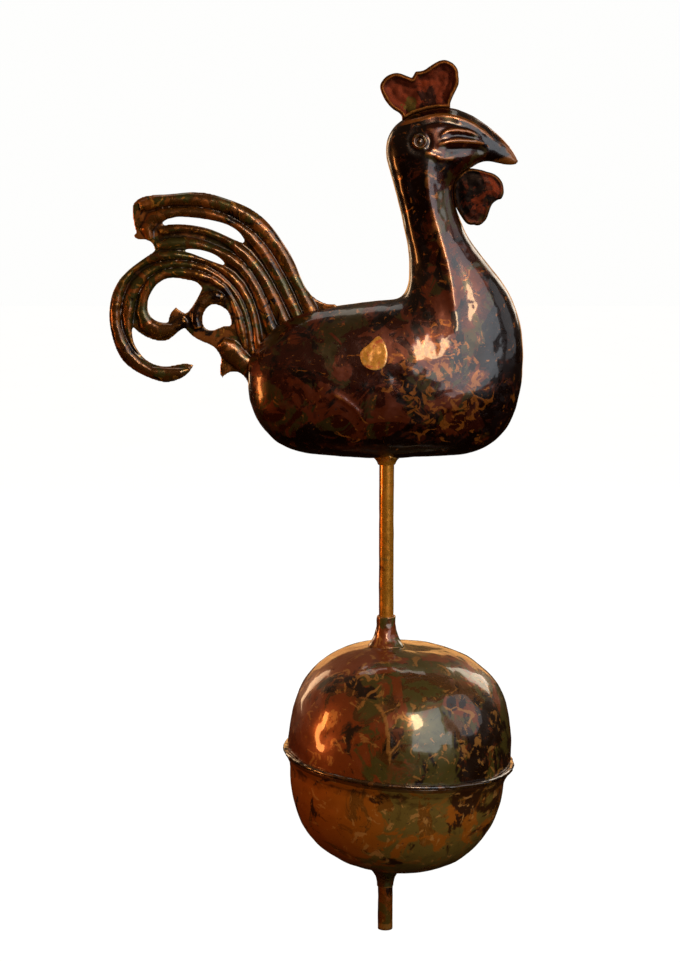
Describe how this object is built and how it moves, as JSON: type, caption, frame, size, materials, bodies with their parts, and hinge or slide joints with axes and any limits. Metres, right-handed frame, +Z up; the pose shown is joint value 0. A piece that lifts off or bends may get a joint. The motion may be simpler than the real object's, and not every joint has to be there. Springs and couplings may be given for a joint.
{
  "type": "weather vane",
  "caption": "Old copper rooster weather vane: a hollow rooster with a ribbed, curled tail that turns on a spindle above a two-part ball and a short mast stub.",
  "frame": {"origin": "centre of the lower end of the mast stub", "axes": "+Z up along the spindle, +X the way the beak points, +Y towards the left side of the bird"},
  "size_m": [0.3767, 0.216, 0.8106],
  "materials": {
    "ball_copper": "aged copper sheet, mottled brown and olive patina, satin gloss",
    "rim_copper": "aged copper wire, brown patina",
    "collar_copper": "aged copper, dark brown patina",
    "body_copper": "aged copper sheet, dark red-brown patina, glossy",
    "tail_copper": "aged copper sheet, brown and olive patina",
    "comb_copper": "aged copper, dark red-brown patina",
    "wattle_copper": "aged copper, near-black brown patina",
    "eye_copper": "aged copper button with a dark centre",
    "patch_copper": "thin patch with a worn ochre face",
    "tube_brass": "worn gilded brass tube",
    "spindle_iron": "dark brown weathered iron",
    "steel": "bare steel",
    "bush_bronze": "plain bronze",
    "solder": "dull solder-coated brass"
  },
  "bodies": {
    "mast": {"ball_bottom_collar": "collar_copper", "ball_bottom_stay": "solder", "ball_core_tube": "solder", "ball_lower_bowl": "ball_copper", "ball_rim_wire": "rim_copper", "ball_top_collar": "collar_copper", "ball_top_stay": "solder", "ball_upper_dome": "ball_copper", "spindle": "spindle_iron", "stop_washer": "steel"},
    "rooster": {"belly_collar": "body_copper", "body_shell_left": "body_copper", "body_shell_right": "body_copper", "comb": "comb_copper", "curl_ring": "tail_copper", "eye_left": "eye_copper", "eye_right": "eye_copper", "feather_bottom": "tail_copper", "feather_curled": "tail_copper", "feather_lower_mid": "tail_copper", "feather_top": "tail_copper", "feather_upper_mid": "tail_copper", "lower_brace": "solder", "lower_bush": "bush_bronze", "pivot_cup": "steel", "pivot_tube": "tube_brass", "sickle_inner": "tail_copper", "sickle_outer": "tail_copper", "side_patch": "patch_copper", "small_ring": "tail_copper", "tail_sheet": "tail_copper", "upper_brace": "solder", "wattle_left": "wattle_copper", "wattle_right": "wattle_copper"}
  },
  "joints": [
    {"name": "rooster_spin", "type": "hinge", "parent": "mast", "child": "rooster", "pos_m": [0, 0, 0.44], "axis": [0, 0, 1], "continuous": true}
  ]
}
